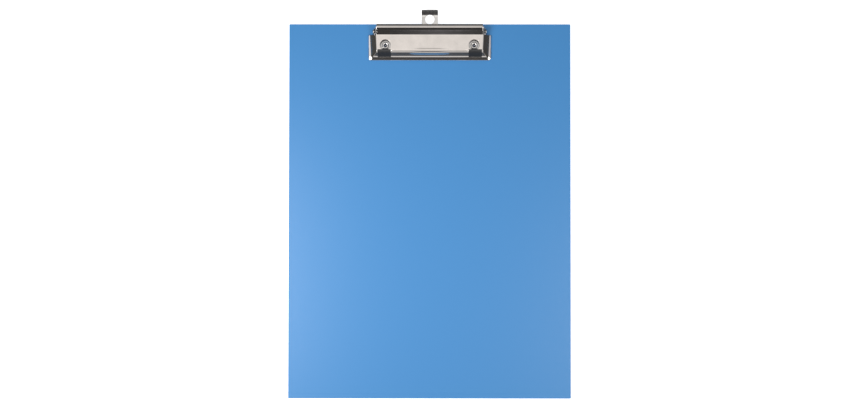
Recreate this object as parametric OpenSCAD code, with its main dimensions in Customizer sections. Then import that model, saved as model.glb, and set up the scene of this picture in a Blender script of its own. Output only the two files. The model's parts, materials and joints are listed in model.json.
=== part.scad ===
// Clipboard: a paper-wrapped board with a sprung steel clip and a sliding hanging eyelet.
// It lies face up. +Y points to the clip's end and +Z up from the back face.
// Clip sections are drawn as [d, h]: d is the distance in from the board's top edge,
// and h is the height above the board's front face.

/* [Board] */
// Width of the board
board_w = 241; // [220:1:260]
// Length of the board
board_l = 320; // [300:1:350]
// Thickness of the grey board inside
core_t = 2; // [1.6:0.1:3]
// Thickness of the wrap and of the lining
paper_t = 0.25; // [0.15:0.05:0.35]
// Width of the wrap's turned-in flaps on the back
turn_in = 12; // [8:1:12]
// Gap between the lining's edge and the board's edge
lining_inset = 4; // [2:0.5:6]

/* [Lever] */
// Width across the lever's side rims
lever_w = 104.6; // [98:0.2:112]
// Thickness of the lever's sheet
sheet_t = 0.7; // [0.6:0.05:0.8]
// Height of the lever's flat plate
flat_h = 7; // [6.8:0.1:7.4]
// Slope of the press bar behind the flat plate, in degrees
hood_slope = 22; // [20:1:24]
// Diameter of the holes that give access to the rivets
access_d = 9; // [8:0.5:10]
// Length of the thumb lift
thumb_l = 29; // [20:1:40]

/* [Hinge] */
// Diameter of the hinge pin
pin_d = 2.4; // [2:0.1:2.6]
// Radial clearance of the pin in its holes
pin_clear = 0.05; // [0.02:0.01:0.08]
// Diameter of the spring wire
wire_d = 0.8; // [0.6:0.05:0.8]
// Whole turns in each torsion spring
spring_turns = 5; // [3:1:7]

/* [Fastening] */
// Thickness of the base plate
plate_t = 0.8; // [0.7:0.05:0.9]
// Diameter of the rivets' shanks
rivet_d = 4; // [3.6:0.1:4.4]
// Diameter of the rivets' heads on the back
rivet_head_d = 9; // [8:0.2:9.4]

/* [Hanging eyelet] */
// How far the eyelet stands out past the board's top edge
tab_reach = 12; // [11:0.5:14]
// Width of the eyelet
tab_w = 14; // [13:0.5:16]
// Diameter of the hole that it hangs by
tab_hole_d = 8; // [6:0.1:8.4]
// Thickness of the eyelet's sheet
tab_t = 0.8; // [0.7:0.05:0.8]

/* [Hidden] */

$fn = 64;
cut = 0.5;                                   // how far cutting tools run past a face
touch = 0.03;                                // gap between faces that only rest together

board_t = core_t + 2 * paper_t;
top_y = (board_l + tab_reach) / 2 - tab_reach;
bottom_y = top_y - board_l;

// Lever outline, outer face
rim_w = 1.2;                                 // rim outside each side flank, at the rear
flank_w = 5.1;                               // each side flank, seen from above
flank_slant = 2.8;                           // turn of the side flanks in towards the front
flat_half = lever_w / 2 - rim_w - flank_w;
hood_half = flat_half - 0.6;
rear_d = 0.65;
flat_rear_d = 9.8;
flat_front_d = 23.65;
brow_d = 24.85;                              // slight bend near the top of the front flank
brow_angle = 37;
heel_d = 27.8;                               // hollow bend between the front flank and the lip
lip_d = 31.2;
lip_angle = 30;
lip_tip_h = sheet_t / cos(lip_angle) + touch;
heel_h = lip_tip_h + (lip_d - heel_d) * tan(lip_angle);
brow_h = flat_h - (brow_d - flat_front_d) * tan(brow_angle);
overrun = 2;                                 // lines run this far past the plan outline
ridge_h = flat_h + (flat_rear_d - rear_d) * tan(hood_slope);
hood_drop_h = 5.6;                           // height of the press bar's rear edge
hood_r = 2.6;
hood_foot_r = 1.5;
front_bend_r = 1.7;
brow_r = 4;
heel_r = 5.5;
rim_slope = 0.4;
flank_foot_h = 1.9;
side_bend_r = 1;
rim_bend_r = 1;
front_line = [[rear_d, hood_drop_h], [rear_d, ridge_h], [flat_rear_d, flat_h],
              [flat_front_d, flat_h], [brow_d, brow_h], [heel_d, heel_h],
              [lip_d + overrun, lip_tip_h - overrun * tan(lip_angle)]];
front_radii = [0, hood_r, hood_foot_r, front_bend_r, brow_r, heel_r, 0];
side_line = [[-lever_w, flat_h], [flat_half, flat_h], [flat_half + flank_w, flank_foot_h],
             [lever_w / 2 + overrun, flank_foot_h - (rim_w + overrun) * rim_slope]];
side_radii = [0, side_bend_r, rim_bend_r, 0];

// Hinge
axis_d = 7;
axis_h = 4.5;
axis_y = top_y - axis_d;
axis_z = board_t + axis_h;
pin_hole_r = pin_d / 2 + pin_clear;
lug_x = hood_half + 0.3;
lug_t = plate_t;
lug_r = 2.4;
cheek_x = lug_x + lug_t + 0.3;
cheek_r = 2.6;
pin_half = cheek_x + sheet_t + 0.1;
pin_head_r = pin_d / 2 + 0.7;
pin_head_l = 0.8;
pin_dome = 0.7;

// Base plate
plate_rear_d = 2;
plate_front_d = 15;
rivet_x = lever_w / 2 - 14.3;
rivet_line_d = 18.4;
foot_front_d = 22.2;
foot_half = 4.8;
channel_half = 11.2;
channel_h = tab_t + 0.12;
channel_rear_d = 3;
channel_front_d = 19;
stop_l = 1.2;

// Eyelet
ear_w = 2 * channel_half - 0.6;
ear_l = 3.2;
ear_rear_d = channel_rear_d + stop_l + 0.05;
tab_bend_d = -tab_reach + 4;
tab_lip_angle = 30;
tab_hole_at = -4;
tab_bend_r = 8;

// Rubber grips
grip_in_x = rivet_x - 4.75;
grip_out_x = flat_half - 1.55;
grip_rear_d = 22.3;
grip_front_d = 28.4;
grip_proud = 0.35;
grip_gap = 0.04;

// Thumb lift: a shallow swelling of the front bend, turned about a line inside the lever
thumb_at = [22.6, 3.15];
thumb_r = 4;
thumb_rise = 0.45;                           // how far it stands out of the front flank

// Springs
spring_x = 20;
coil_r = 1.5 + wire_d / 2;
coil_pitch = wire_d + 0.06;
coil_steps = 20;                             // rings of the wire in each turn
wire_sides = 8;
base_leg_angle = 17;
hood_leg_angle = hood_slope + 3;
base_leg_l = (axis_h - coil_r * cos(base_leg_angle) - plate_t - wire_d / 2 - touch)
             / sin(base_leg_angle);
hood_leg_l = 4;

// ---- Section geometry ----

function left_of(v) = [-v[1], v[0]];
function way(a, b) = (b - a) / norm(b - a);
function turn_at(line, i) = cross(way(line[i - 1], line[i]), way(line[i], line[i + 1]));

// Tangent length of a fillet of radius r at corner i
function fillet_length(line, i, r) =
    r * tan(acos(way(line[i - 1], line[i]) * way(line[i], line[i + 1])) / 2);

// The same line moved to its right by t, which is the sheet's inner face
function moved_line(line, t) = [for (i = [0:len(line) - 1])
    let (before = left_of(way(line[max(i - 1, 0)], line[max(i, 1)])),
         after = left_of(way(line[min(i, len(line) - 2)], line[min(i + 1, len(line) - 1)])))
    line[i] - (before + after) * t / (1 + before * after)];

function moved_radii(line, radii, t) = [for (i = [0:len(line) - 1])
    i == 0 || i == len(line) - 1 ? 0 : radii[i] + (turn_at(line, i) < 0 ? -t : t)];

// The area below a line whose corners are rounded. Each corner is held as the fillet's first
// point, the corner itself, the fillet's last point, its centre, and -1 for a crest or 1 for a dip.
module below(line, radii, floor_h = -4) {
    last = len(line) - 1;
    corners = [for (i = [1:last - 1])
        let (reach = fillet_length(line, i, radii[i]),
             entry = line[i] - way(line[i - 1], line[i]) * reach,
             side = turn_at(line, i) < 0 ? -1 : 1)
        [entry, line[i], line[i] + way(line[i], line[i + 1]) * reach,
         entry + left_of(way(line[i - 1], line[i])) * radii[i] * side, side]];
    edge = [for (c = corners) each c[4] < 0 ? [c[0], c[2]] : [c[0], c[3], c[2]]];
    difference() {
        polygon(concat([[line[0][0], floor_h], line[0]], edge,
                       [line[last], [line[last][0], floor_h]]));
        for (i = [0:last - 2])
            if (corners[i][4] > 0) translate(corners[i][3]) circle(r = radii[i + 1]);
    }
    for (i = [0:last - 2])
        if (corners[i][4] < 0) intersection() {
            polygon([for (k = [0:3]) corners[i][k]]);
            translate(corners[i][3]) circle(r = radii[i + 1]);
        }
}

// Carries a [d, h] section across the clip between two values of x
module across(x0, x1) {
    translate([x1, top_y, board_t]) rotate([90, 0, -90]) linear_extrude(x1 - x0) children();
}

// Carries an [x, h] section along d
module along(d0, d1) {
    translate([0, top_y - d0, board_t]) rotate([90, 0, 0]) linear_extrude(d1 - d0) children();
}

// Raises an [x, d] outline from height h0 to h1
module raise(h0, h1) {
    translate([0, top_y, board_t + h0]) mirror([0, 1, 0]) linear_extrude(h1 - h0) children();
}

module both_sides() {
    children();
    mirror([1, 0, 0]) children();
}

// ---- Board ----

module core_shape() {
    inner_w = board_w - 2 * paper_t;
    inner_l = board_l - 2 * paper_t;
    translate([-inner_w / 2, bottom_y + paper_t, 2 * paper_t])
        cube([inner_w, inner_l, core_t - paper_t]);
    translate([-board_w / 2 + turn_in, bottom_y + turn_in, paper_t])
        cube([board_w - 2 * turn_in, board_l - 2 * turn_in, 2 * paper_t]);
}

module at_rivets() {
    both_sides() translate([rivet_x, top_y - rivet_line_d, 0]) children();
}

module core_board() {
    color("tan") difference() {
        core_shape();
        at_rivets() {
            translate([0, 0, -cut]) cylinder(d = rivet_d + 0.1, h = board_t + 2 * cut);
            translate([0, 0, -cut]) cylinder(d = rivet_head_d + 0.2, h = plate_t + 0.1 + cut);
        }
    }
}

module front_cover() {
    color("cornflowerblue") difference() {
        translate([-board_w / 2, bottom_y, paper_t]) cube([board_w, board_l, board_t - paper_t]);
        core_shape();
        translate([-board_w / 2 + turn_in, bottom_y + turn_in, 0])
            cube([board_w - 2 * turn_in, board_l - 2 * turn_in, 2 * paper_t]);
        for (sx = [-1, 1], end = [0, 1])
            mitre_slit(sx, end);
        at_rivets() cylinder(d = rivet_d + 0.1, h = board_t + cut);
    }
}

// The cut between two turned-in flaps at a corner
module mitre_slit(sx, end) {
    slit_w = 0.4;
    start = 1;
    corner_y = end == 1 ? top_y : bottom_y;
    turn = end == 1 ? -135 : 45;
    translate([sx * board_w / 2, corner_y, 0])
        mirror([sx > 0 ? 1 : 0, 0, 0])
            mirror([0, end, 0])
                rotate(45)
                    translate([start, -slit_w / 2, 0])
                        cube([turn_in * sqrt(2), slit_w, 2 * paper_t]);
}

module back_lining() {
    color("steelblue") difference() {
        translate([-board_w / 2 + lining_inset, bottom_y + lining_inset, 0])
            cube([board_w - 2 * lining_inset, board_l - 2 * lining_inset, paper_t]);
        at_rivets() translate([0, 0, -cut]) cylinder(d = rivet_head_d + 0.4, h = paper_t + 2 * cut);
    }
}

// ---- Fastening ----

// Semi-tubular rivet: flat head sunk in the back, hollow end rolled over the base plate
module rivet() {
    head_t = plate_t;
    roll_r = 0.8;
    bore_r = rivet_d / 2 - 0.7;
    roll_at = bore_r + roll_r;
    top_z = board_t + plate_t;
    color("silver") rotate_extrude() difference() {
        union() {
            translate([0, touch]) square([rivet_head_d / 2, head_t]);
            translate([0, touch]) square([rivet_d / 2, top_z - touch + 0.4]);
            intersection() {
                translate([roll_at, top_z + 0.3]) circle(r = roll_r);
                translate([0, top_z]) square([roll_at + roll_r, 2 * roll_r]);
            }
        }
        translate([0, board_t - 1]) square([bore_r, 4]);
    }
}

module left_rivet() {
    translate([-rivet_x, top_y - rivet_line_d, 0]) rivet();
}

module right_rivet() {
    translate([rivet_x, top_y - rivet_line_d, 0]) rivet();
}

// Base plate: flat wings with rivet feet, upright lugs for the pin, and a raised channel
module base_plate() {
    color("silver") difference() {
        union() {
            both_sides() {
                raise(0, plate_t) wing_outline();
                across(lug_x, lug_x + lug_t) lug_outline();
            }
            channel();
        }
        across(-pin_half, pin_half) translate([axis_d, axis_h]) circle(r = pin_hole_r);
        at_rivets() cylinder(d = rivet_d + 0.1, h = board_t + 2);
    }
}

module wing_outline() {
    corner = 2;
    translate([channel_half, plate_rear_d])
        square([lug_x + lug_t - channel_half, plate_front_d - plate_rear_d]);
    translate([rivet_x - foot_half, plate_front_d - 1])
        square([2 * foot_half, foot_front_d - corner - plate_front_d + 1]);
    translate([rivet_x - foot_half + corner, foot_front_d - corner - 1])
        square([2 * (foot_half - corner), corner + 1]);
    for (side = [-1, 1])
        translate([rivet_x + side * (foot_half - corner), foot_front_d - corner]) circle(r = corner);
}

module lug_outline() {
    foot = 1.4;
    ear(lug_r);
    polygon([[axis_d - lug_r, axis_h], [axis_d - lug_r - foot, 0],
             [axis_d + lug_r + foot, 0], [axis_d + lug_r, axis_h]]);
}

module channel() {
    wall = plate_t;
    narrow_half = tab_w / 2 + 0.2;
    long = channel_front_d - channel_rear_d;
    raise(channel_h, channel_h + plate_t)
        translate([-channel_half - wall, channel_rear_d]) square([2 * (channel_half + wall), long]);
    both_sides() {
        raise(0, channel_h + plate_t)
            translate([channel_half, channel_rear_d]) square([wall, long]);
        raise(0, channel_h + plate_t / 2)
            translate([narrow_half, channel_rear_d])
                square([channel_half - narrow_half + wall / 2, stop_l]);
    }
}

// ---- Hinge ----

// A disc round the pin whose upper rear corner is filled out parallel to the press bar.
// The corner stands a hair proud of the disc, so that its edges cross the disc's cleanly.
module ear(r) {
    proud = r + 0.05;
    past = 0.3;
    up = [sin(hood_slope), cos(hood_slope)];
    rear = [-proud, proud * (1 + up[0]) / up[1]];
    front = proud * up + past * [up[1], -up[0]];
    translate([axis_d, axis_h]) {
        circle(r = r);
        polygon([[0, 0], [-proud, -past], rear, front]);
    }
}

module hinge_pin() {
    dome_r = (pin_head_r * pin_head_r + pin_dome * pin_dome) / (2 * pin_dome);
    color("gainsboro") translate([0, axis_y, axis_z]) rotate([0, 90, 0]) {
        cylinder(d = pin_d, h = 2 * pin_half + pin_head_l, center = true);
        for (side = [0, 1]) mirror([0, 0, side]) translate([0, 0, pin_half]) {
            cylinder(r = pin_head_r, h = pin_head_l);
            intersection() {
                translate([0, 0, pin_head_l + pin_dome - dome_r]) sphere(r = dome_r);
                cylinder(r = pin_head_r, h = pin_head_l + pin_dome);
            }
        }
    }
}

// A point on the spring's wire, placed by the coil's angle and its x
function coil_point(angle, x) =
    [x, axis_y - coil_r * cos(angle), axis_z + coil_r * sin(angle)];

function spring_path() =
    let (first = base_leg_angle - 90,
         last = 90 - hood_leg_angle + 360 * spring_turns,
         steps = ceil((last - first) / 360 * coil_steps),
         start = coil_point(first, spring_x),
         end_x = spring_x + coil_pitch * (last - first) / 360,
         end = coil_point(last, end_x))
    concat(
        [start + base_leg_l * [0, cos(base_leg_angle), -sin(base_leg_angle)]],
        [for (i = [0:steps]) coil_point(first + (last - first) * i / steps,
                                        spring_x + (end_x - spring_x) * i / steps)],
        [end + hood_leg_l * [0, cos(hood_leg_angle), sin(hood_leg_angle)]]);

// One closed tube of round wire along a path
module wire(path) {
    last = len(path) - 1;
    points = [for (i = [0:last])
        let (ahead = path[min(i + 1, last)] - path[max(i - 1, 0)],
             side = cross(ahead, [1, 0, 0]) / norm(cross(ahead, [1, 0, 0])),
             up = cross(side, ahead / norm(ahead)))
        for (k = [0:wire_sides - 1])
            path[i] + wire_d / 2 * (cos(360 * k / wire_sides) * side
                                    + sin(360 * k / wire_sides) * up)];
    walls = [for (i = [0:last - 1], k = [0:wire_sides - 1])
        let (next = (k + 1) % wire_sides)
        each [[i * wire_sides + k, i * wire_sides + next, (i + 1) * wire_sides + next],
              [i * wire_sides + k, (i + 1) * wire_sides + next, (i + 1) * wire_sides + k]]];
    start_cap = [for (k = [wire_sides - 1:-1:0]) k];
    end_cap = [for (k = [0:wire_sides - 1]) last * wire_sides + k];
    polyhedron(points, concat(walls, [start_cap, end_cap]));
}

module left_spring() {
    color("dimgray") mirror([1, 0, 0]) wire(spring_path());
}

module right_spring() {
    color("dimgray") wire(spring_path());
}

// ---- Lever ----

// Everything under the lever's face, moved inwards by t
module lever_mass(t) {
    intersection() {
        across(-lever_w / 2 - overrun, lever_w / 2 + overrun)
            below(moved_line(front_line, t), moved_radii(front_line, front_radii, t));
        side_mass(t);
        mirror([1, 0, 0]) side_mass(t);
    }
}

// Everything under the plate and the right-hand flank, turned in towards the front
module side_mass(t) {
    translate([0, top_y - flat_rear_d, 0]) rotate(-flank_slant) translate([0, flat_rear_d - top_y, 0])
        along(-lip_d, 2 * lip_d) below(moved_line(side_line, t), moved_radii(side_line, side_radii, t));
}

module lever_plan() {
    corner = 2.5;
    half = lever_w / 2;
    polygon([[-half, flat_rear_d], [-half, lip_d - corner], [-half + corner, lip_d],
             [half - corner, lip_d], [half, lip_d - corner], [half, flat_rear_d]]);
    for (side = [-1, 1])
        translate([side * (half - corner), lip_d - corner]) circle(r = corner);
}

// The thumb lift's solid, drawn in by t. Its ends stay inside the lever's sheet.
module thumb_spindle(t) {
    half = thumb_l / 2 + 1;
    arc_r = (thumb_l * thumb_l / 4 + thumb_rise * thumb_rise) / (2 * thumb_rise);
    translate([0, top_y - thumb_at[0], board_t + thumb_at[1]]) rotate([0, 90, 0])
        rotate_extrude() intersection() {
            translate([thumb_r - arc_r, 0]) circle(r = arc_r - t, $fn = 256);
            translate([0, -half]) square([thumb_r, 2 * half]);
        }
}

module press_bar() {
    across(-hood_half, hood_half) intersection() {
        difference() {
            below(front_line, front_radii);
            below(moved_line(front_line, sheet_t), moved_radii(front_line, front_radii, sheet_t));
        }
        translate([0, hood_drop_h]) square([flat_rear_d + 0.2, ridge_h]);
    }
}

// An upright plate round the pin, whose neck runs forward into the side flank
module cheek() {
    neck_h = flat_h - 2;
    neck_rear_d = axis_d + 3.4;
    neck_front_d = axis_d + 6;
    neck_w = 1.8;
    across(cheek_x, cheek_x + sheet_t) {
        ear(cheek_r);
        polygon([[axis_d, axis_h + cheek_r], [neck_rear_d, neck_h], [neck_front_d, neck_h],
                 [neck_front_d, neck_h - neck_w], [axis_d + 2, axis_h - cheek_r],
                 [axis_d, axis_h - cheek_r]]);
    }
}

module clip_lever() {
    color("lightgray") difference() {
        union() {
            difference() {
                union() {
                    intersection() {
                        lever_mass(0);
                        raise(-1, flat_h + 1) lever_plan();
                    }
                    thumb_spindle(0);
                }
                lever_mass(sheet_t);
                thumb_spindle(sheet_t);
            }
            press_bar();
            both_sides() cheek();
        }
        across(-pin_half, pin_half) translate([axis_d, axis_h]) circle(r = pin_hole_r);
        at_rivets() translate([0, 0, board_t + flat_h / 2]) cylinder(d = access_d, h = flat_h);
        both_sides() raise(0, flat_h + 1)
            translate([grip_in_x, grip_rear_d])
                square([grip_out_x - grip_in_x, grip_front_d - grip_rear_d]);
    }
}

// Rubber grip: a plug that fills the window, a flange behind it and a sole over the board
module grip() {
    margin = 0.8;
    flange_h = 4.9;
    sole_d = 24;
    sole_front_d = 28;
    color("#222222") {
        across(grip_in_x + grip_gap, grip_out_x - grip_gap) intersection() {
            difference() {
                below(moved_line(front_line, -grip_proud),
                      moved_radii(front_line, front_radii, -grip_proud));
                below(moved_line(front_line, sheet_t + margin),
                      moved_radii(front_line, front_radii, sheet_t + margin));
            }
            translate([grip_rear_d + grip_gap, touch])
                square([grip_front_d - grip_rear_d - 2 * grip_gap, flat_h + 1]);
        }
        across(grip_in_x - margin, grip_out_x - margin) intersection() {
            below(moved_line(front_line, sheet_t + grip_gap),
                  moved_radii(front_line, front_radii, sheet_t + grip_gap));
            polygon([[grip_rear_d - margin, flange_h], [sole_d, flange_h], [sole_d, touch],
                     [sole_front_d, touch], [sole_front_d, flat_h], [grip_rear_d - margin, flat_h]]);
        }
    }
}

module left_grip() {
    mirror([1, 0, 0]) grip();
}

module right_grip() {
    grip();
}

// ---- Hanging eyelet ----

module tab_outline() {
    corner = 0.8;
    half = tab_w / 2;
    translate([-half + corner, -tab_reach]) square([tab_w - 2 * corner, corner + 1]);
    translate([-half, -tab_reach + corner]) square([tab_w, ear_rear_d + tab_reach]);
    for (side = [-1, 1])
        translate([side * (half - corner), -tab_reach + corner]) circle(r = corner);
    translate([-ear_w / 2, ear_rear_d]) square([ear_w, ear_l]);
}

module hanger_tab() {
    face_h = touch + tab_t;
    tip_d = -tab_reach - 1;
    top_line = [[tip_d, face_h + (tab_bend_d - tip_d) * tan(tab_lip_angle)],
                [tab_bend_d, face_h], [ear_rear_d + ear_l + 1, face_h]];
    radii = [0, tab_bend_r, 0];
    color("darkgray") difference() {
        intersection() {
            across(-ear_w / 2 - 1, ear_w / 2 + 1) difference() {
                below(top_line, radii);
                below(moved_line(top_line, tab_t), moved_radii(top_line, radii, tab_t));
            }
            raise(-1, flat_h) tab_outline();
        }
        translate([0, top_y - tab_hole_at, 0]) cylinder(d = tab_hole_d, h = board_t + flat_h);
    }
}

// ---- Output ----

core_board();
front_cover();
back_lining();
base_plate();
clip_lever();
left_grip();
right_grip();
hinge_pin();
left_spring();
right_spring();
left_rivet();
right_rivet();
hanger_tab();
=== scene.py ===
"""Clipboard: a blue paper-wrapped board with a sprung nickel clip and a sliding hanging eyelet."""

import json
import math

import bmesh
import bpy
import numpy as np
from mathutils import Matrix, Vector

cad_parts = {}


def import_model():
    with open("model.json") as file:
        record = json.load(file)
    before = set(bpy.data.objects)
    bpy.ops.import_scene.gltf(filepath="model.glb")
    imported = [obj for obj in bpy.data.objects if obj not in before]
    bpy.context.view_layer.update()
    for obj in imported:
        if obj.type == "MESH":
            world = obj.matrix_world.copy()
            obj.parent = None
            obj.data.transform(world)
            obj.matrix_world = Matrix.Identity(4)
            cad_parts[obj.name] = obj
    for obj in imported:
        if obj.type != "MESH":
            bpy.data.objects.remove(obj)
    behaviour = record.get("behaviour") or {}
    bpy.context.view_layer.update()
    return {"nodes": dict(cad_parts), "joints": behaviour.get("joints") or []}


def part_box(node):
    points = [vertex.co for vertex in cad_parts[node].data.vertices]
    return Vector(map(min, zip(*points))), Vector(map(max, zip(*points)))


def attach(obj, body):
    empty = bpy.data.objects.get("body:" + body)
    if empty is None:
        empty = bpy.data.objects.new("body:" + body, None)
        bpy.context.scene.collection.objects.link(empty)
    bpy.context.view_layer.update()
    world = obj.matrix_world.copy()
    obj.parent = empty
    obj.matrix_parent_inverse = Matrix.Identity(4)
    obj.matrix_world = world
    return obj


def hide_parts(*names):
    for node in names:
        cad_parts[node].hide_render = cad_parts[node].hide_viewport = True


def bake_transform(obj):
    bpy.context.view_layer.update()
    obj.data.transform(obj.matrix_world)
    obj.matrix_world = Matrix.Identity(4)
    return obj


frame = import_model()
MM = 0.001

# ---- Places taken from the CAD frame -------------------------------------------------

cover_low, cover_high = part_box("front_cover")
lever_low, lever_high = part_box("clip_lever")
TOP_Y = cover_high.y
FACE_Z = cover_high.z
HINGE = Vector(frame["joints"][0]["pos_m"])
LEVER_HALF = lever_high.x / MM
LIP_D = (TOP_Y - lever_low.y) / MM
HOOD_REAR_D = (TOP_Y - lever_high.y) / MM


def at(x, d, h):
    """A point from millimetres: x across, d in from the board's top edge, h above its face."""
    return Vector((x * MM, TOP_Y - d * MM, FACE_Z + h * MM))


# ---- Mesh helpers --------------------------------------------------------------------

MERGE_GAP = 1e-7
ROUND_STEPS = 3
ROUND_FROM_DEG = 40
FLAT_WITHIN_DEG = 0.4


def mesh_object(name, points, faces):
    """A new object from points in metres."""
    mesh = bpy.data.meshes.new(name)
    mesh.from_pydata([tuple(p) for p in points], [], faces)
    mesh.validate()
    piece = bpy.data.objects.new(name, mesh)
    bpy.context.scene.collection.objects.link(piece)
    return piece


def edit(piece, change):
    """Runs change(bm) on the piece's mesh."""
    bm = bmesh.new()
    bm.from_mesh(piece.data)
    change(bm)
    bm.to_mesh(piece.data)
    bm.free()
    piece.data.update()


def merge_and_face_out(bm):
    bmesh.ops.remove_doubles(bm, verts=bm.verts, dist=MERGE_GAP)
    bmesh.ops.recalc_face_normals(bm, faces=bm.faces)


def bake_modifiers(piece):
    """Turns the piece's modifiers into plain mesh."""
    graph = bpy.context.evaluated_depsgraph_get()
    baked = bpy.data.meshes.new_from_object(piece.evaluated_get(graph))
    piece.modifiers.clear()
    piece.data = baked


def cut_with(piece, cutters):
    """Takes the cutters' volumes out of the piece."""
    for cutter in cutters:
        cut = piece.modifiers.new("cut", "BOOLEAN")
        cut.operation = "DIFFERENCE"
        cut.solver = "EXACT"
        cut.object = cutter
        bake_modifiers(piece)
        bpy.data.objects.remove(cutter)


def join(piece, others):
    """Adds the others' meshes to the piece's mesh."""
    def gather(bm):
        for other in others:
            bm.from_mesh(other.data)

    edit(piece, gather)
    for other in others:
        bpy.data.objects.remove(other)


def smooth(piece, sharp_deg=35):
    """Smooth shading that keeps flat faces flat and corners crisp."""
    piece.data.shade_smooth()
    piece.data.set_sharp_from_angle(angle=math.radians(sharp_deg))
    weighted = piece.modifiers.new("weighted", "WEIGHTED_NORMAL")
    weighted.keep_sharp = True
    return piece


def refined(node, round_mm=0.15):
    """A copy of a CAD node with its sharp edges rounded, which stands in for it."""
    piece = bpy.data.objects.new(node + "_finish", frame["nodes"][node].data.copy())
    bpy.context.scene.collection.objects.link(piece)

    def clean(bm):
        merge_and_face_out(bm)
        bmesh.ops.dissolve_limit(bm, angle_limit=math.radians(FLAT_WITHIN_DEG),
                                 verts=bm.verts, edges=bm.edges)

    edit(piece, clean)
    bevel = piece.modifiers.new("round", "BEVEL")
    bevel.width = round_mm * MM
    bevel.segments = ROUND_STEPS
    bevel.limit_method = "ANGLE"
    bevel.angle_limit = math.radians(ROUND_FROM_DEG)
    bevel.miter_outer = "MITER_ARC"
    bake_modifiers(piece)
    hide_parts(node)
    return smooth(piece)


def tube(name, path, radius, sides=14, across=Vector((1, 0, 0))):
    """A closed round wire along a path that never runs along the across direction."""
    points, faces = [], []
    last = len(path) - 1
    for i, p in enumerate(path):
        ahead = (path[min(i + 1, last)] - path[max(i - 1, 0)]).normalized()
        side = ahead.cross(across).normalized()
        up = side.cross(ahead)
        for k in range(sides):
            a = math.tau * k / sides
            points.append(p + radius * (math.cos(a) * side + math.sin(a) * up))
    for i in range(last):
        for k in range(sides):
            n = (k + 1) % sides
            faces.append((i * sides + k, i * sides + n, (i + 1) * sides + n, (i + 1) * sides + k))
    faces.append(tuple(reversed(range(sides))))
    faces.append(tuple(last * sides + k for k in range(sides)))
    return mesh_object(name, points, faces)


def lathe(name, profile, centre, sides=72):
    """A solid turned about a vertical axis; the profile's [r, z] starts and ends on the axis."""
    points, faces = [], []
    for r, z in profile:
        for k in range(sides):
            a = math.tau * k / sides
            points.append((centre.x + r * math.cos(a), centre.y + r * math.sin(a), z))
    for i in range(len(profile) - 1):
        for k in range(sides):
            n = (k + 1) % sides
            faces.append((i * sides + k, i * sides + n, (i + 1) * sides + n, (i + 1) * sides + k))
    piece = mesh_object(name, points, faces)
    edit(piece, merge_and_face_out)
    return piece


# ---- Section helpers, in millimetres -------------------------------------------------

SNAP = 1e-6


def rounded_line(corners, radii, turn_deg=6.0):
    """The points of a line whose corners are rounded, one every turn_deg of bend."""
    corners = [Vector(c) for c in corners]
    points = [corners[0]]
    for before, corner, after, radius in zip(corners, corners[1:], corners[2:], radii[1:]):
        way_in, way_out = (corner - before).normalized(), (after - corner).normalized()
        turn = way_in.angle_signed(way_out)
        reach = radius * math.tan(abs(turn) / 2)
        entry = corner - way_in * reach
        side = -1 if turn > 0 else 1
        to_centre = Vector((-way_in.y, way_in.x)) * side
        centre = entry + to_centre * radius
        steps = max(2, math.ceil(math.degrees(abs(turn)) / turn_deg))
        for i in range(steps + 1):
            a = abs(turn) * i / steps * side
            arm = -to_centre * radius
            points.append(centre + Vector((arm.x * math.cos(a) - arm.y * math.sin(a),
                                           arm.x * math.sin(a) + arm.y * math.cos(a))))
    return points + [corners[-1]]


def filled(points, longest):
    """The same line with its long straights split up."""
    out = [points[0]]
    for a, b in zip(points, points[1:]):
        parts = max(1, math.ceil((b - a).length / longest(a, b)))
        out += [a.lerp(b, i / parts) for i in range(1, parts + 1)]
    return out


def with_stops(points, stops):
    """The same line with a point wherever its first coordinate, which grows, meets a stop."""
    out = [points[0]]
    for a, b in zip(points, points[1:]):
        for s in sorted(stops):
            if a.x + SNAP < s < b.x - SNAP:
                out.append(a.lerp(b, (s - a.x) / (b.x - a.x)))
        out.append(b)
    return out


# ---- Clip lever ----------------------------------------------------------------------

SHEET_T = 0.7
FLAT_H = 7.0                                 # the flat's height above the board's face
EDGE_R = 0.12                                # rounding along the sheet's cut edges
TOUCH = 0.04                                 # gap kept under the lip
HOOD_DROP_H = 5.6                            # the hood's rear edge
HOOD_CORNER_H = 10.63                        # where the hood's rear wall and slope would meet
HOOD_BOW = (6.3, 8.45)                       # the hood's slope is very slightly bowed here
PAN_REAR_D = 9.8                             # the hood ends and the flat begins
FLAT_FRONT_D = 23.65
BROW = (24.85, 6.096)                        # slight bend near the top of the front flank
LIP_SLOPE = math.radians(30)
LIP_TIP_H = SHEET_T / math.cos(LIP_SLOPE) + TOUCH
HEEL_D = 27.8                                # hollow bend between the front flank and the lip
HEEL_H = LIP_TIP_H + (LIP_D - HEEL_D) * math.tan(LIP_SLOPE)
FRONT_LINE = [(HOOD_REAR_D, HOOD_DROP_H), (HOOD_REAR_D, HOOD_CORNER_H), HOOD_BOW,
              (PAN_REAR_D, FLAT_H), (FLAT_FRONT_D, FLAT_H), BROW, (HEEL_D, HEEL_H),
              (LIP_D, LIP_TIP_H)]
FRONT_RADII = [0, 2.6, 30.0, 1.5, 1.7, 4.0, 5.5, 0]
FLAT_HALF = 46.0                             # half the flat's width
SIDE_LINE = [(0, FLAT_H), (FLAT_HALF, FLAT_H), (51.1, 1.9), (55.1, 0.3)]
SIDE_RADII = [0, 1.0, 1.0, 0]
SLANT = math.tan(math.radians(2.8))          # the side flanks run in towards the front
CORNER_R = 2.5                               # the two front corners, seen from above
CORNER_FROM = 48.0                           # columns outside this x follow the corners
RIM_FROM = 51.4                              # columns outside this x belong to the side rim
WINDOW_X = (33.25 - EDGE_R, 44.45 + EDGE_R)  # the openings that the grips sit in
WINDOW_D = (22.3 - EDGE_R, 28.4 + EDGE_R)
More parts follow.
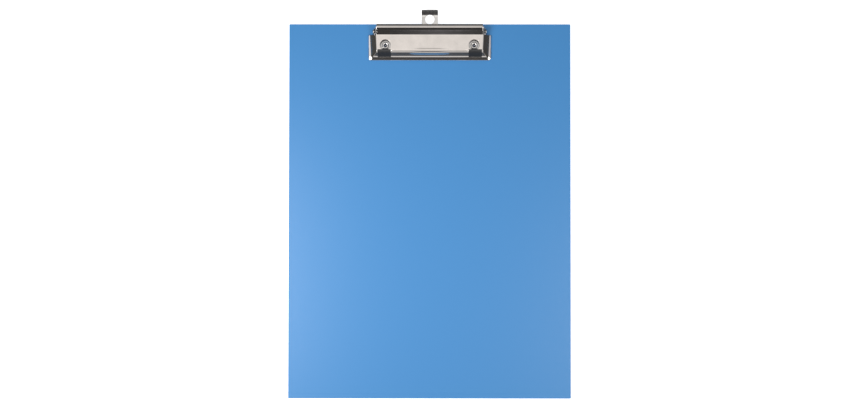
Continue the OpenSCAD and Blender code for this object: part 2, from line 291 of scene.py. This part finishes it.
HOOD_EDGE = 45.4 - EDGE_R                    # half the hood's width
THUMB_AT = Vector((22.6, 3.15))              # axis of the thumb lift's swelling
THUMB_R = 3.78
THUMB_RISE = 0.2                             # how much less its radius is at THUMB_HALF
THUMB_HALF = 14.5
THUMB_BLEND = 0.35
HIP_BLEND = 1.6                              # rounding between the front and side flanks
HIP_GROWTH = 0.35
ACCESS_R = 4.5                               # the holes over the rivets
ACCESS_FLARE = 0.14
ACCESS_DEPTH = 3.5


def inset(d):
    """How far the side flanks have run in at depth d."""
    return max(d - PAN_REAR_D, 0) * SLANT


def lever_x(column, d):
    """Where a column of the lever's grid lies at depth d."""
    half = LEVER_HALF - EDGE_R
    x = abs(column)
    follow = min(max((x - WINDOW_X[1]) / (FLAT_HALF - 0.3 - WINDOW_X[1]), 0), 1)
    if x > RIM_FROM:
        follow = (half - x) / (half - RIM_FROM)
    x -= inset(d) * follow
    in_corner = d - (LIP_D - CORNER_R)
    if in_corner > 0 and x > CORNER_FROM:
        edge = half - CORNER_R + math.sqrt(max(CORNER_R ** 2 - in_corner ** 2, 0))
        x = CORNER_FROM + (x - CORNER_FROM) * (edge - CORNER_FROM) / (half - CORNER_FROM)
    return math.copysign(x, column)


def joined_drop(a, b):
    """The larger of two drops, rounded where they are alike and both well below the flat."""
    blend = min(HIP_BLEND, HIP_GROWTH * min(a, b))
    if blend <= 0:
        return max(a, b)
    share = max(blend - abs(a - b), 0) / blend
    return max(a, b) + share * share * blend / 4


def with_thumb_lift(x, d, h):
    """Pushes a point of the front bend out to the long shallow swelling of the thumb lift."""
    reach = THUMB_R - THUMB_RISE * (x / THUMB_HALF) ** 4
    arm = Vector((d, h)) - THUMB_AT
    share = max(THUMB_BLEND - abs(reach - arm.length), 0) / THUMB_BLEND
    pushed = THUMB_AT + arm.normalized() * (max(reach, arm.length)
                                            + share * share * THUMB_BLEND / 4)
    return pushed.x, pushed.y


def lever_rows():
    """[d, h] points down the lever's middle section, from the hood's rear edge to the lip."""
    fine, coarse = 0.4, 1.6

    def longest(a, b):
        on_flank = min(a.y, b.y) < FLAT_H - 0.05 and a.x > PAN_REAR_D + 1
        return fine if on_flank else coarse

    line = filled(rounded_line(FRONT_LINE, FRONT_RADII), longest)
    corner_d = LIP_D - CORNER_R
    arc = [corner_d + CORNER_R * math.sin(math.radians(a)) for a in range(0, 90, 10)]
    thumb = [20.6 + fine * i for i in range(7)]
    rows = with_stops(line, list(WINDOW_D) + arc + thumb)
    return [Vector((min(r.x, LIP_D - EDGE_R), r.y)) for r in rows]


def lever_columns():
    """x from the middle to the side rim: close together at the thumb lift and the bends."""
    thumb = [0.9 * i for i in range(26)]
    plate = [24.5, 27, 30, WINDOW_X[0], 34.5, 36, 37.5, 39, 40.5, 42, 43.2, WINDOW_X[1]]
    bend = [44.9, HOOD_EDGE, 45.6, 45.8, 46.0, 46.2, 46.4, 46.7]
    flank = [47.2, 48, 48.7, 49.3, 49.8, 50.3, 50.6, 50.8, 50.95, 51.05, 51.15, 51.25]
    half = thumb + plate + bend + flank + [RIM_FROM, 51.8, LEVER_HALF - EDGE_R]
    return [-x for x in reversed(half[1:])] + half


def lever_skin():
    """The lever's outer face as one sheet."""
    side = rounded_line(SIDE_LINE, SIDE_RADII, turn_deg=4)
    side_x, side_h = [p.x for p in side], [p.y for p in side]
    rows, columns = lever_rows(), lever_columns()
    index, points, faces = {}, [], []
    for j, row in enumerate(rows):
        on_pan = row.x >= PAN_REAR_D - 0.02
        for i, column in enumerate(columns):
            if not on_pan and abs(column) > HOOD_EDGE + SNAP:
                continue
            d, h = row
            x = lever_x(column, d)
            if on_pan:
                side_drop = FLAT_H - float(np.interp(abs(x) + inset(d), side_x, side_h))
                h = max(h, FLAT_H) - joined_drop(max(FLAT_H - h, 0), side_drop)
                d, h = with_thumb_lift(x, d, h)
            index[i, j] = len(points)
            points.append(at(x, d, h))
    for j in range(len(rows) - 1):
        for i in range(len(columns) - 1):
            corners = [(i, j), (i, j + 1), (i + 1, j + 1), (i + 1, j)]
            mid_x = abs(columns[i] + columns[i + 1]) / 2
            mid_d = (rows[j].x + rows[j + 1].x) / 2
            in_window = (WINDOW_X[0] < mid_x < WINDOW_X[1]
                         and WINDOW_D[0] < mid_d < WINDOW_D[1])
            if not in_window and all(c in index for c in corners):
                faces.append(tuple(index[c] for c in corners))
    return mesh_object("clip_lever_skin", points, faces)


def shell(piece, thickness, edge_r):
    """Gives a sheet its thickness inwards and rounds its open edges outwards by edge_r."""
    bm = bmesh.new()
    bm.from_mesh(piece.data)
    bm.normal_update()
    bm.verts.index_update()
    points = [v.co.copy() for v in bm.verts] + [v.co - v.normal * thickness for v in bm.verts]
    count = len(bm.verts)
    faces = [tuple(v.index for v in f.verts) for f in bm.faces]
    faces += [tuple(i + count for i in reversed(f)) for f in faces]
    rim = [next(l for l in e.link_loops) for e in bm.edges if e.is_boundary]
    outward = {}
    for loop in rim:
        a, b = loop.vert, loop.link_loop_next.vert
        out = (b.co - a.co).cross(loop.face.normal).normalized()
        for v in (a, b):
            outward[v] = outward.get(v, Vector()) + out
    quarter = [math.radians(a) for a in (30, 60, 90)]
    curve = [(math.sin(a) * edge_r, (1 - math.cos(a)) * edge_r) for a in quarter]
    curve += [(out, thickness - down) for out, down in reversed(curve)]
    chain = {}
    for v, out in outward.items():
        out = out.normalized()
        chain[v] = [v.index]
        for away, down in curve:
            chain[v].append(len(points))
            points.append(v.co + out * away - v.normal * down)
        chain[v].append(v.index + count)
    for loop in rim:
        a, b = chain[loop.vert], chain[loop.link_loop_next.vert]
        faces += [(b[k], a[k], a[k + 1], b[k + 1]) for k in range(len(a) - 1)]
    bm.free()
    bpy.data.objects.remove(piece)
    return points, faces


def access_drill(x, d):
    """A drill for the hole over a rivet, which also rounds over the hole's upper edge."""
    high, low = FLAT_H + 2, FLAT_H - ACCESS_DEPTH
    arc = [math.radians(a) for a in (0, 22.5, 45, 67.5, 90)]
    profile = [(0, low), (ACCESS_R, low)]
    profile += [(ACCESS_R + ACCESS_FLARE * (1 - math.cos(a)),
                 FLAT_H - ACCESS_FLARE + ACCESS_FLARE * math.sin(a)) for a in arc]
    profile += [(ACCESS_R + ACCESS_FLARE, high), (0, high)]
    return lathe("drill", [(r * MM, FACE_Z + h * MM) for r, h in profile], at(x, d, 0), sides=96)


def plate_across(x0, x1, outline):
    """A flat plate between two values of x with a [d, h] outline."""
    bm = bmesh.new()
    face = bm.faces.new([bm.verts.new(at(x0, d, h)) for d, h in outline])
    grown = bmesh.ops.extrude_face_region(bm, geom=[face])["geom"]
    bmesh.ops.translate(bm, vec=Vector(((x1 - x0) * MM, 0, 0)),
                        verts=[g for g in grown if isinstance(g, bmesh.types.BMVert)])
    bmesh.ops.recalc_face_normals(bm, faces=bm.faces)
    mesh = bpy.data.meshes.new("plate")
    bm.to_mesh(mesh)
    bm.free()
    piece = bpy.data.objects.new("plate", mesh)
    bpy.context.scene.collection.objects.link(piece)
    return piece


AXIS_D = (TOP_Y - HINGE.y) / MM
AXIS_H = (HINGE.z - FACE_Z) / MM
CHEEK_X = 46.8                               # inner face of the right cheek
CHEEK_R = 2.6                                # its round end about the pin
CHEEK_SLOPE = math.radians(22)               # its upper edge follows the hood
CHEEK_FOOT_D = 9.0
PIN_HOLE_R = 1.25
NECK_D = (10.4, 13.0)                        # the arm that joins the cheek to the side flank
NECK_H = (3.2, 5.0)


def cheek(side):
    """An upright plate beside the hood, which joins the side flank; the pin runs through it.

    The drill's faces point inwards, so it marks the pin's hole on both faces of the plate but
    leaves the hole filled. The pin hides this.
    """
    sine, cosine = math.sin(CHEEK_SLOPE), math.cos(CHEEK_SLOPE)
    round_end = [math.radians(a) for a in range(180, 271, 15)]
    outline = [(AXIS_D + CHEEK_R * math.cos(a), AXIS_H + CHEEK_R * math.sin(a))
               for a in round_end]
    outline += [(CHEEK_FOOT_D, AXIS_H - CHEEK_R), (NECK_D[1], NECK_H[0]), (NECK_D[1], NECK_H[1]),
                (NECK_D[0], NECK_H[1])]
    down_slope = (0.3, 0.12)
    outline.append((AXIS_D + CHEEK_R * sine + down_slope[0],
                    AXIS_H + CHEEK_R * cosine - down_slope[1]))
    corner = (AXIS_D - CHEEK_R, AXIS_H + CHEEK_R * (1 + sine) / cosine)
    outline += [(corner[0] + forward, corner[1] - down)
                for forward, down in ((0.35, 0.14), (0.1, 0.1), (0, 0.4))]
    x0, x1 = sorted((side * CHEEK_X, side * (CHEEK_X + SHEET_T)))
    plate = plate_across(x0, x1, outline)
    drill = tube("drill", [at(x0 - 1, AXIS_D, AXIS_H), at(x1 + 1, AXIS_D, AXIS_H)],
                 PIN_HOLE_R * MM, sides=48, across=Vector((0, 0, 1)))
    cut_with(plate, [drill])
    return plate


def make_lever():
    """The pressed sheet with its two holes over the rivets, and the two cheeks."""
    points, faces = shell(lever_skin(), SHEET_T * MM, EDGE_R * MM)
    lever = mesh_object("clip_lever_finish", points, faces)
    rivet_x = [(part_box(n)[0].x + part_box(n)[1].x) / 2 / MM for n in ("left_rivet", "right_rivet")]
    rivet_y = (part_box("left_rivet")[0].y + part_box("left_rivet")[1].y) / 2
    rivet_d = (TOP_Y - rivet_y) / MM
    cut_with(lever, [access_drill(x, rivet_d) for x in rivet_x])
    join(lever, [cheek(-1), cheek(1)])
    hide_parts("clip_lever")
    return smooth(lever)


# ---- Board ---------------------------------------------------------------------------

PAPER_T = 0.25
TURN_IN = 12.0
FOLD_R = 0.42
SLIT_W = 0.4
SLIT_FROM = 1.0                              # the slits start this far in from the corners
SHANK_HOLE_R = 2.05


def ring(inward, z):
    """A rounded rectangle this far inside the board's outline, at height z, both in mm."""
    x1, y1 = cover_high.x / MM - inward, cover_high.y / MM - inward
    x0, y0 = cover_low.x / MM + inward, cover_low.y / MM + inward
    r, steps = max(FOLD_R - inward, 0), 4
    points = []
    for cx, cy, start in ((x1 - r, y1 - r, 0), (x0 + r, y1 - r, 90),
                          (x0 + r, y0 + r, 180), (x1 - r, y0 + r, 270)):
        for i in range(steps + 1):
            a = math.radians(start + 90 * i / steps)
            points.append(((cx + r * math.cos(a)) * MM, (cy + r * math.sin(a)) * MM, z * MM))
    return points


def make_cover():
    """The wrap: one sheet over the front, folded round the edges and turned in on the back."""
    top, low = cover_high.z / MM, cover_low.z / MM
    fold = [math.radians(a) for a in (0, 22.5, 45, 67.5, 90)]
    outer = [(FOLD_R * (1 - math.sin(a)), top - FOLD_R * (1 - math.cos(a))) for a in fold]
    outer += [(FOLD_R * (1 - math.cos(a)), low + FOLD_R * (1 - math.sin(a))) for a in fold]
    outer += [(TURN_IN, low), (TURN_IN, low + PAPER_T)]
    inner = [(PAPER_T, low + PAPER_T), (PAPER_T, top - PAPER_T)]
    rings = [ring(inward, z) for inward, z in outer + inner]
    count = len(rings[0])
    points = [p for r in rings for p in r]
    faces = [tuple(range(count))]
    for i in range(len(rings) - 1):
        for k in range(count):
            n = (k + 1) % count
            faces.append((i * count + k, (i + 1) * count + k, (i + 1) * count + n, i * count + n))
    faces.append(tuple((len(rings) - 1) * count + k for k in reversed(range(count))))
    cover = mesh_object("front_cover_finish", points, faces)
    edit(cover, merge_and_face_out)
    cut_with(cover, [slit(sx, sy) for sx in (-1, 1) for sy in (-1, 1)])
    cut_with(cover, [rivet_drill(n) for n in ("left_rivet", "right_rivet")])
    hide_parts("front_cover")
    return smooth(cover, sharp_deg=50)


def slit(sx, sy):
    """The mitred cut between two turned-in flaps at a corner."""
    corner = Vector((cover_high.x if sx > 0 else cover_low.x,
                     cover_high.y if sy > 0 else cover_low.y, cover_low.z))
    inward = Vector((-sx, -sy, 0)).normalized()
    start, length = SLIT_FROM * MM, TURN_IN * 1.5 * MM
    bpy.ops.mesh.primitive_cube_add(size=1)
    knife = bpy.context.object
    knife.scale = (length, SLIT_W * MM, 2 * PAPER_T * MM * 0.98)
    knife.rotation_euler = (0, 0, math.atan2(inward.y, inward.x))
    knife.location = corner + inward * (start + length / 2)
    knife.location.z = cover_low.z
    return knife


def rivet_drill(node):
    """A drill through the whole board at a rivet."""
    low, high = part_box(node)
    radius, under, over = SHANK_HOLE_R * MM, -MM, 5 * MM
    profile = [(0, under), (radius, under), (radius, over), (0, over)]
    return lathe("drill", profile, (low + high) / 2, sides=48)


# ---- Small parts ---------------------------------------------------------------------

def make_rivet(node):
    """A semi-tubular rivet: flat head under the lining, hollow end rolled over the base plate."""
    low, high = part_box(node)
    centre = (low + high) / 2
    head_r = (high.x - low.x) / 2 / MM
    head_z, head_t, edge_r, edge_cut = low.z / MM, 0.8, 0.25, 0.07
    shank_r, bore_r, bore_z, bore_tip_z = 2.0, 1.3, 2.3, 1.1
    roll_r, fullness = 0.8, 0.75
    roll_z = high.z / MM - roll_r
    roll_at = bore_r + roll_r
    profile = [(0, head_z), (head_r - edge_r, head_z), (head_r - edge_cut, head_z + edge_cut),
               (head_r, head_z + edge_r), (head_r, head_z + head_t), (shank_r, head_z + head_t),
               (shank_r, roll_z - 0.3), (shank_r + 0.55, roll_z - 0.3),
               (shank_r + 0.82, roll_z - 0.18)]
    for deg in range(0, 181, 12):
        a = math.radians(deg)
        out = math.copysign(abs(math.cos(a)) ** fullness, math.cos(a))
        profile.append((roll_at + roll_r * out, roll_z + roll_r * math.sin(a) ** fullness))
    profile += [(bore_r, roll_z - 0.5), (bore_r, bore_z), (0, bore_tip_z)]
    rivet = lathe(node + "_finish", [(r * MM, z * MM) for r, z in profile], centre)
    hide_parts(node)
    return smooth(rivet)


COIL_R = 1.9                                 # to the middle of the wire
WIRE_R = 0.4
SPRING_X = 20.0                              # where the coil starts, either side of the middle
COIL_PITCH = 0.86
SPRING_TURNS = 5
BASE_LEG_DEG = 17.0                          # the leg that presses down on the base plate
BASE_LEG_L = 4.86
HOOD_LEG_DEG = 25.0                          # the leg that presses up under the hood
HOOD_LEG_L = 4.0


def make_spring(node, side):
    """A torsion spring round the pin: one leg on the base plate and one under the hood."""
    def on_coil(angle, x):
        a = math.radians(angle)
        return HINGE + Vector((side * x - HINGE.x / MM, -COIL_R * math.cos(a),
                               COIL_R * math.sin(a))) * MM

    def leg(angle, length):
        a = math.radians(angle)
        return Vector((0, math.cos(a), math.sin(a))) * length * MM

    first = BASE_LEG_DEG - 90
    last = 90 - HOOD_LEG_DEG + 360 * SPRING_TURNS
    steps = SPRING_TURNS * 40
    path = []
    for i in range(steps + 1):
        angle = first + (last - first) * i / steps
        path.append(on_coil(angle, SPRING_X + COIL_PITCH * (angle - first) / 360))
    foot = path[0] + leg(-BASE_LEG_DEG, BASE_LEG_L)
    tip = path[-1] + leg(HOOD_LEG_DEG, HOOD_LEG_L)
    path = ([foot.lerp(path[0], i / 6) for i in range(6)] + path
            + [path[-1].lerp(tip, i / 5) for i in range(1, 6)])
    spring = tube(node + "_finish", path, WIRE_R * MM)
    edit(spring, merge_and_face_out)
    spring.data.shade_smooth()
    spring.data.set_sharp_from_angle(angle=math.radians(50))
    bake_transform(spring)
    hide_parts(node)
    return spring


# ---- Materials -----------------------------------------------------------------------

class Surface:
    """A procedural material: a Principled shader and the few node chains it needs."""

    def __init__(self, name, metallic, roughness):
        self.material = bpy.data.materials.new(name)
        self.material.use_nodes = True
        self.tree = self.material.node_tree
        self.shader = self.tree.nodes["Principled BSDF"]
        self.shader.inputs["Metallic"].default_value = metallic
        self.shader.inputs["Roughness"].default_value = roughness
        self.place = self.tree.nodes.new("ShaderNodeTexCoord").outputs["Object"]

    def add(self, kind, **settings):
        made = self.tree.nodes.new(kind)
        for key, value in settings.items():
            setattr(made, key, value)
        return made

    def join(self, source, target):
        self.tree.links.new(source, target)

    def noise(self, size_mm, detail=4.0, stretch=(1, 1, 1), rough=0.55):
        """A noise value from 0 to 1 whose features are about size_mm across."""
        spread = self.add("ShaderNodeMapping")
        spread.inputs["Scale"].default_value = [1 / (size_mm * MM * s) for s in stretch]
        noise = self.add("ShaderNodeTexNoise")
        noise.inputs["Scale"].default_value = 1.0
        noise.inputs["Detail"].default_value = detail
        noise.inputs["Roughness"].default_value = rough
        self.join(self.place, spread.inputs["Vector"])
        self.join(spread.outputs["Vector"], noise.inputs["Vector"])
        return noise.outputs["Fac"]

    def ranged(self, value, low, high, from_low=0.3, from_high=0.7):
        """The value moved to a new range."""
        made = self.add("ShaderNodeMapRange")
        for name, number in (("From Min", from_low), ("From Max", from_high),
                             ("To Min", low), ("To Max", high)):
            made.inputs[name].default_value = number
        self.join(value, made.inputs["Value"])
        return made.outputs["Result"]

    def mixed(self, factor, first, second):
        """A colour between two colours or sockets."""
        made = self.add("ShaderNodeMix", data_type="RGBA")
        for source, name in ((first, 6), (second, 7)):
            if isinstance(source, bpy.types.NodeSocket):
                self.join(source, made.inputs[name])
            else:
                made.inputs[name].default_value = (*source, 1)
        if isinstance(factor, bpy.types.NodeSocket):
            self.join(factor, made.inputs[0])
        else:
            made.inputs[0].default_value = factor
        return made.outputs[2]

    def scaled(self, colour, factor):
        """The colour multiplied by a value."""
        made = self.add("ShaderNodeVectorMath", operation="SCALE")
        if isinstance(colour, bpy.types.NodeSocket):
            self.join(colour, made.inputs[0])
        else:
            made.inputs[0].default_value = colour
        self.join(factor, made.inputs["Scale"])
        return made.outputs["Vector"]

    def edges(self, low=0.5, high=0.56):
        """0 on flats and 1 on convex edges."""
        point = self.add("ShaderNodeNewGeometry").outputs["Pointiness"]
        return self.ranged(point, 0, 1, low, high)

    def bump(self, *layers):
        """Layers of (height value, depth in mm)."""
        before = None
        for value, depth in layers:
            made = self.add("ShaderNodeBump")
            made.inputs["Distance"].default_value = depth * MM
            self.join(value, made.inputs["Height"])
            if before:
                self.join(before, made.inputs["Normal"])
            before = made.outputs["Normal"]
        self.join(before, self.shader.inputs["Normal"])

    def colour(self, value):
        self.join(value, self.shader.inputs["Base Color"])

    def roughness(self, value):
        self.join(value, self.shader.inputs["Roughness"])


DULLED = 0.8                                 # tarnish specks against the clean plating
EDGE_WEAR_AND_HIGHLIGHT = 1.12                                # edges lighter than the clean plating: partly wear, partly a painted highlight
# dark bluish grey painted into the rivet's bore as shade
BORE_SHADE = (0.17, 0.19, 0.23)


def metal(name, tint, rough, wave_mm=0.004, grain=(1, 1, 1), grain_mm=0.6, shade_below_z=None):
    """Plated steel: faint waviness, fine grain, small tarnish specks, and edges brightened partly as
    wear and partly as a painted highlight.

    Everything below the given height, if one is given, is darkened to a dark bluish grey: painted
    shade, as in the rivet's bore.
    """
    made = Surface(name, 1.0, rough)
    cloud = made.noise(9, detail=3)
    fine = made.noise(grain_mm, detail=5, stretch=grain)
    speck = made.ranged(made.noise(0.9, detail=2), 0, 0.4, 0.70, 0.80)
    shade = made.scaled(tint, made.ranged(cloud, 0.95, 1.04))
    shade = made.mixed(speck, shade, [c * DULLED for c in tint])
    # painted highlight along convex edges, together with wear
    shade = made.mixed(made.edges(), shade, [min(c * EDGE_WEAR_AND_HIGHLIGHT, 1) for c in tint])
    # painted shade: darkens everything below the given height, such as the rivet's bore
    if shade_below_z:
        parts = made.add("ShaderNodeSeparateXYZ")
        made.join(made.place, parts.inputs[0])
        depth = made.ranged(parts.outputs["Z"], 1, 0, shade_below_z - 0.5 * MM, shade_below_z + 0.4 * MM)
        shade = made.mixed(depth, shade, BORE_SHADE)
    made.colour(shade)
    made.roughness(made.ranged(fine, rough * 0.75, rough * 1.3))
    made.bump((made.noise(14, detail=1), wave_mm), (fine, 0.0006))
    return made.material


def paper(name, tint, sheen_rough, depth=0.012):
    """Coated paper: a fine mottle of fibres, a light tooth and edges rubbed a little darker."""
    made = Surface(name, 0.0, sheen_rough)
    mottle = made.ranged(made.noise(1.6, detail=5, rough=0.65), 0.8, 1.2)
    shade = made.scaled(made.scaled(tint, mottle), made.ranged(made.noise(60), 0.985, 1.015))
    made.colour(made.mixed(made.edges(0.505, 0.55), shade, [c * 0.86 for c in tint]))
    made.roughness(made.ranged(made.noise(3.5), sheen_rough - 0.03, sheen_rough + 0.04))
    made.shader.inputs["Specular IOR Level"].default_value = 0.5
    made.bump((made.noise(1.1, detail=6, rough=0.7), depth), (made.noise(8), depth * 2))
    return made.material


def rubber(name, tint):
    """Moulded rubber: cloudy black, a fine grain and edges rubbed lighter."""
    made = Surface(name, 0.0, 0.5)
    shade = made.scaled(tint, made.ranged(made.noise(2.0), 0.8, 1.3))
    made.colour(made.mixed(made.edges(), shade, [c * 2.2 for c in tint]))
    made.roughness(made.ranged(made.noise(1.0), 0.42, 0.62))
    made.bump((made.noise(0.5, detail=3), 0.02))
    return made.material


def fibreboard(name, tint):
    """Grey board: long fibres, light and dark, on a rough face."""
    made = Surface(name, 0.0, 0.9)
    fibres = made.noise(0.6, detail=6, stretch=(6, 1, 0.5), rough=0.7)
    made.colour(made.scaled(tint, made.ranged(fibres, 0.72, 1.2)))
    made.bump((fibres, 0.06))
    return made.material


NICKEL = (0.66, 0.62, 0.59)
BLUE = (0.051, 0.285, 0.662)

MATERIALS = {
    "greyboard": fibreboard("greyboard", (0.20, 0.17, 0.13)),
    "wrap_paper": paper("wrap_paper", BLUE, 0.34),
    "lining_paper": paper("lining_paper", (0.07, 0.22, 0.44), 0.62, depth=0.02),
    "plated_steel": metal("plated_steel", (0.50, 0.49, 0.48), 0.22, grain=(8, 1, 1)),
    "bright_nickel": metal("bright_nickel", NICKEL, 0.07, wave_mm=0.006, grain=(10, 1, 1)),
    "black_rubber": rubber("black_rubber", (0.012, 0.012, 0.013)),
    "pin_steel": metal("pin_steel", (0.56, 0.55, 0.53), 0.3, grain=(1, 6, 6)),
    "spring_steel": metal("spring_steel", (0.30, 0.29, 0.28), 0.3, grain_mm=0.3),
    # the rivet's bore gets painted shade below 3.4 mm
    "rivet_steel": metal("rivet_steel", (0.74, 0.72, 0.71), 0.2, shade_below_z=0.0034),
    "tab_nickel": metal("tab_nickel", (0.56, 0.55, 0.54), 0.15, grain=(1, 10, 1)),
}


def dress(piece, slot, body=None):
    """Gives the piece its material and, unless it already follows a body, its body."""
    piece.data.materials.clear()
    piece.data.materials.append(MATERIALS[slot])
    if body:
        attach(piece, body)


dress(frame["nodes"]["core_board"], "greyboard")
dress(frame["nodes"]["back_lining"], "lining_paper")
dress(make_cover(), "wrap_paper", "board")
dress(refined("base_plate"), "plated_steel", "board")
dress(refined("hinge_pin", 0.1), "pin_steel", "board")
for side, name in ((-1, "left"), (1, "right")):
    dress(make_rivet(name + "_rivet"), "rivet_steel", "board")
    dress(make_spring(name + "_spring", side), "spring_steel")
    dress(refined(name + "_grip", 0.25), "black_rubber", "lever")
dress(make_lever(), "bright_nickel", "lever")
dress(refined("hanger_tab"), "tab_nickel", "hanger")


# ---- Studio --------------------------------------------------------------------------

FLOOR_HALF = 8
FLOOR_Z = -0.0004


def floor():
    """A plain pale floor that the metal doesn't mirror."""
    plane = mesh_object("studio_floor", [(x * FLOOR_HALF, y * FLOOR_HALF, FLOOR_Z) for x, y in
                                         ((-1, -1), (1, -1), (1, 1), (-1, 1))], [(0, 1, 2, 3)])
    made = Surface("studio_floor", 0.0, 1.0)
    made.colour(made.scaled((0.9, 0.9, 0.9), made.ranged(made.noise(400), 0.99, 1.0)))
    made.shader.inputs["Specular IOR Level"].default_value = 0.0
    made.shader.inputs["Emission Color"].default_value = (1, 1, 1, 1)
    made.shader.inputs["Emission Strength"].default_value = 0.8
    plane.data.materials.append(made.material)
    plane.visible_glossy = False


SOFTBOX_SIZE = 0.26


def softbox(name, place, aim, watts):
    """A square area light, aimed at a point."""
    light = bpy.data.lights.new(name, "AREA")
    light.shape = "SQUARE"
    light.size = SOFTBOX_SIZE
    light.energy = watts
    lamp = bpy.data.objects.new(name, light)
    lamp.location = place
    lamp.rotation_euler = (Vector(aim) - Vector(place)).to_track_quat("-Z", "Y").to_euler()
    bpy.context.scene.collection.objects.link(lamp)


def sky_direction(from_zenith, towards):
    """A unit direction: degrees off the zenith, and the compass angle from +X towards +Y."""
    polar, turn = math.radians(from_zenith), math.radians(towards)
    return (math.sin(polar) * math.cos(turn), math.sin(polar) * math.sin(turn), math.cos(polar))


DOME = (0.38, 0.38, 0.38)
# Patches painted on the dome in turn: degrees off the zenith, compass angle, how many degrees
# from its middle the patch is full and has faded, and its radiance.
PATCHES = [
    (92, 90, 20, 34, (0.14, 0.14, 0.14)),        # dim wall behind the clip
    (92, 180, 20, 28, (0.09, 0.09, 0.08)),       # dark walls that the side flanks mirror
    (92, 0, 20, 28, (0.07, 0.07, 0.07)),
    (9.4, 238, 4, 26, (1.34, 1.31, 1.28)),       # soft overhead light that the flat mirrors
    (78, -137, 22, 28, (0.06, 0.06, 0.06)),      # dark corners for the lever's front corners
    (78, -43, 22, 28, (0.06, 0.06, 0.06)),
    (38, -90, 15, 20, (0.05, 0.05, 0.05)),       # dark area that the hood's slope mirrors
    (36.8, -90, 0.5, 1.3, (0.26, 0.26, 0.28)),   # thin line of light along that slope
    (67, -90, 8, 12, (0.85, 0.85, 0.86)),        # light band along the front flank's bends
    (93, -90, 11, 15, (0.10, 0.11, 0.125)),      # dark band below it
    (47, 171, 7, 12, (1.1, 1.1, 1.15)),          # lights that the side rims mirror
    (45, 9, 6, 11, (0.7, 0.7, 0.75)),
    (180, 0, 84, 90, (0.08, 0.08, 0.08)),        # everything below the horizon
]
BACKDROP = (0.93, 0.93, 0.93)


def world():
    """The patched dome as the metals and the paper see it; the camera sees a plain backdrop."""
    made = bpy.data.worlds.new("studio")
    bpy.context.scene.world = made
    made.use_nodes = True
    tree = made.node_tree
    direction = tree.nodes.new("ShaderNodeTexCoord").outputs["Generated"]
    sky = tree.nodes.new("ShaderNodeRGB")
    sky.outputs[0].default_value = (*DOME, 1)
    sky = sky.outputs[0]
    for from_zenith, towards, full, faded, radiance in PATCHES:
        dot = tree.nodes.new("ShaderNodeVectorMath")
        dot.operation = "DOT_PRODUCT"
        dot.inputs[1].default_value = sky_direction(from_zenith, towards)
        tree.links.new(direction, dot.inputs[0])
        edge = tree.nodes.new("ShaderNodeMapRange")
        edge.interpolation_type = "SMOOTHSTEP"
        edge.inputs["From Min"].default_value = math.cos(math.radians(faded))
        edge.inputs["From Max"].default_value = math.cos(math.radians(full))
        tree.links.new(dot.outputs["Value"], edge.inputs["Value"])
        mix = tree.nodes.new("ShaderNodeMix")
        mix.data_type = "RGBA"
        tree.links.new(edge.outputs["Result"], mix.inputs[0])
        tree.links.new(sky, mix.inputs[6])
        mix.inputs[7].default_value = (*radiance, 1)
        sky = mix.outputs[2]
    seen = tree.nodes.new("ShaderNodeMix")
    seen.data_type = "RGBA"
    tree.links.new(tree.nodes.new("ShaderNodeLightPath").outputs["Is Camera Ray"], seen.inputs[0])
    tree.links.new(sky, seen.inputs[6])
    seen.inputs[7].default_value = (*BACKDROP, 1)
    tree.links.new(seen.outputs[2], tree.nodes["Background"].inputs["Color"])


floor()
world()
softbox("key_left", (-0.28, -0.06, 0.43), (0, -0.04, 0), 1.66)
softbox("key_right", (0.28, -0.10, 0.48), (0, -0.02, 0), 0.80)

SENSOR_MM = 36
LENS_MM = 78.315
CAMERA_PLACE = (0.0082, -0.0521, 1.6011)
CAMERA_TURN_DEG = (1.8283, 0.2818, 0.0492)

scene = bpy.context.scene
camera = bpy.data.objects.new("camera", bpy.data.cameras.new("camera"))
camera.data.sensor_width = SENSOR_MM
camera.data.lens = LENS_MM
camera.location = CAMERA_PLACE
camera.rotation_mode = "ZYX"
camera.rotation_euler = [math.radians(a) for a in CAMERA_TURN_DEG]
scene.collection.objects.link(camera)
scene.camera = camera
scene.view_settings.view_transform = "Standard"
scene.view_settings.look = "None"
